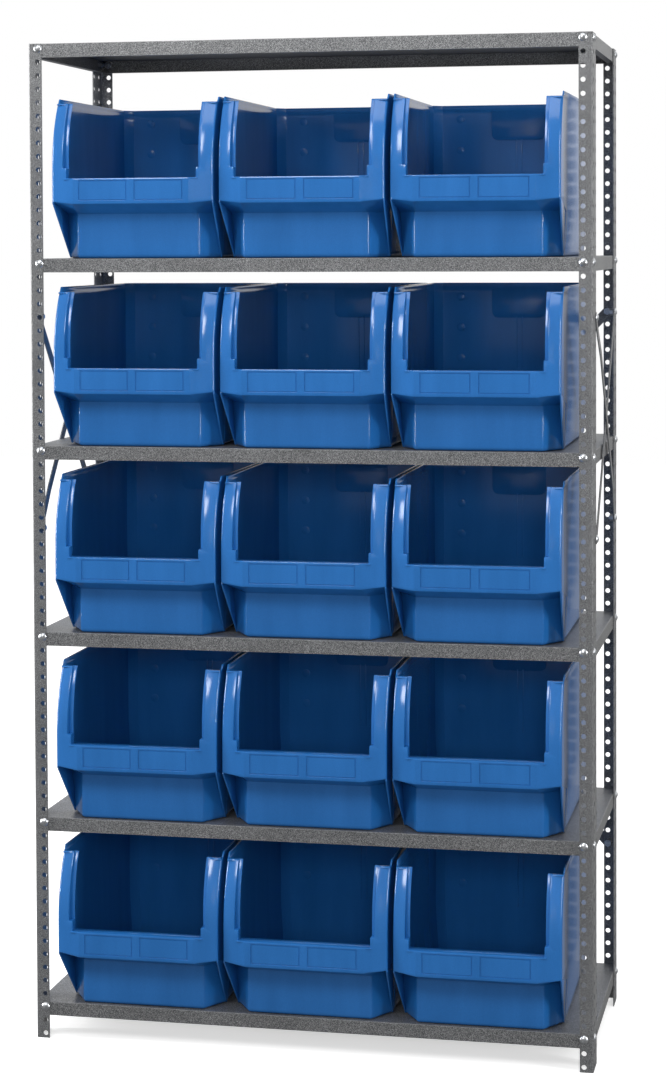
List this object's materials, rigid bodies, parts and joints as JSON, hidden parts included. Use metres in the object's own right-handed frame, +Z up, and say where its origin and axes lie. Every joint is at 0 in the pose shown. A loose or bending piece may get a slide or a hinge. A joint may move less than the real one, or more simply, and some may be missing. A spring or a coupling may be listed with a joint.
{
  "type": "bin shelving unit",
  "caption": "Free-standing punched-angle steel shelving with bolted box shelves, crossed sway braces and open-front plastic storage bins on its shelves.",
  "frame": {"origin": "on the floor, in the middle of the overall width and depth", "axes": "+Z up, -Y towards the bins' open fronts, +X to the right as seen from the front"},
  "size_m": [1.0788, 0.5056, 1.8987],
  "materials": {
    "painted_steel": "grey hammertone baked paint",
    "zinc_fasteners": "bright zinc plate",
    "bin_plastic": "glossy moulded polypropylene, blue"
  },
  "bodies": {
    "frame": {"post_front_left": "painted_steel", "post_front_right": "painted_steel", "post_rear_left": "painted_steel", "post_rear_right": "painted_steel", "shelf_1": "painted_steel", "shelf_2": "painted_steel", "shelf_3": "painted_steel", "shelf_4": "painted_steel", "shelf_5": "painted_steel", "shelf_6": "painted_steel", "side_brace_left_a": "painted_steel", "side_brace_left_b": "painted_steel", "side_brace_right_a": "painted_steel", "side_brace_right_b": "painted_steel", "back_brace_a": "painted_steel", "back_brace_b": "painted_steel", "shelf_1_bolts": "zinc_fasteners", "shelf_1_nuts": "zinc_fasteners", "shelf_2_bolts": "zinc_fasteners", "shelf_2_nuts": "zinc_fasteners", "shelf_3_bolts": "zinc_fasteners", "shelf_3_nuts": "zinc_fasteners", "shelf_4_bolts": "zinc_fasteners", "shelf_4_nuts": "zinc_fasteners", "shelf_5_bolts": "zinc_fasteners", "shelf_5_nuts": "zinc_fasteners", "shelf_6_bolts": "zinc_fasteners", "shelf_6_nuts": "zinc_fasteners", "side_brace_left_bolts": "zinc_fasteners", "side_brace_left_nuts": "zinc_fasteners", "side_brace_right_bolts": "zinc_fasteners", "side_brace_right_nuts": "zinc_fasteners", "back_brace_bolts": "zinc_fasteners", "back_brace_nuts": "zinc_fasteners"},
    "bin_level1_left": {"bin_level1_left": "bin_plastic"},
    "bin_level1_centre": {"bin_level1_centre": "bin_plastic"},
    "bin_level1_right": {"bin_level1_right": "bin_plastic"},
    "bin_level2_left": {"bin_level2_left": "bin_plastic"},
    "bin_level2_centre": {"bin_level2_centre": "bin_plastic"},
    "bin_level2_right": {"bin_level2_right": "bin_plastic"},
    "bin_level3_left": {"bin_level3_left": "bin_plastic"},
    "bin_level3_centre": {"bin_level3_centre": "bin_plastic"},
    "bin_level3_right": {"bin_level3_right": "bin_plastic"},
    "bin_level4_left": {"bin_level4_left": "bin_plastic"},
    "bin_level4_centre": {"bin_level4_centre": "bin_plastic"},
    "bin_level4_right": {"bin_level4_right": "bin_plastic"},
    "bin_level5_left": {"bin_level5_left": "bin_plastic"},
    "bin_level5_centre": {"bin_level5_centre": "bin_plastic"},
    "bin_level5_right": {"bin_level5_right": "bin_plastic"}
  },
  "joints": [
    {"name": "slide_bin_level1_left", "type": "slide", "parent": "frame", "child": "bin_level1_left", "axis": [0, -1, 0], "range_m": [0, 0.46]},
    {"name": "slide_bin_level1_centre", "type": "slide", "parent": "frame", "child": "bin_level1_centre", "axis": [0, -1, 0], "range_m": [0, 0.46]},
    {"name": "slide_bin_level1_right", "type": "slide", "parent": "frame", "child": "bin_level1_right", "axis": [0, -1, 0], "range_m": [0, 0.46]},
    {"name": "slide_bin_level2_left", "type": "slide", "parent": "frame", "child": "bin_level2_left", "axis": [0, -1, 0], "range_m": [0, 0.46]},
    {"name": "slide_bin_level2_centre", "type": "slide", "parent": "frame", "child": "bin_level2_centre", "axis": [0, -1, 0], "range_m": [0, 0.46]},
    {"name": "slide_bin_level2_right", "type": "slide", "parent": "frame", "child": "bin_level2_right", "axis": [0, -1, 0], "range_m": [0, 0.46]},
    {"name": "slide_bin_level3_left", "type": "slide", "parent": "frame", "child": "bin_level3_left", "axis": [0, -1, 0], "range_m": [0, 0.46]},
    {"name": "slide_bin_level3_centre", "type": "slide", "parent": "frame", "child": "bin_level3_centre", "axis": [0, -1, 0], "range_m": [0, 0.46]},
    {"name": "slide_bin_level3_right", "type": "slide", "parent": "frame", "child": "bin_level3_right", "axis": [0, -1, 0], "range_m": [0, 0.46]},
    {"name": "slide_bin_level4_left", "type": "slide", "parent": "frame", "child": "bin_level4_left", "axis": [0, -1, 0], "range_m": [0, 0.46]},
    {"name": "slide_bin_level4_centre", "type": "slide", "parent": "frame", "child": "bin_level4_centre", "axis": [0, -1, 0], "range_m": [0, 0.46]},
    {"name": "slide_bin_level4_right", "type": "slide", "parent": "frame", "child": "bin_level4_right", "axis": [0, -1, 0], "range_m": [0, 0.46]},
    {"name": "slide_bin_level5_left", "type": "slide", "parent": "frame", "child": "bin_level5_left", "axis": [0, -1, 0], "range_m": [0, 0.46]},
    {"name": "slide_bin_level5_centre", "type": "slide", "parent": "frame", "child": "bin_level5_centre", "axis": [0, -1, 0], "range_m": [0, 0.46]},
    {"name": "slide_bin_level5_right", "type": "slide", "parent": "frame", "child": "bin_level5_right", "axis": [0, -1, 0], "range_m": [0, 0.46]}
  ]
}
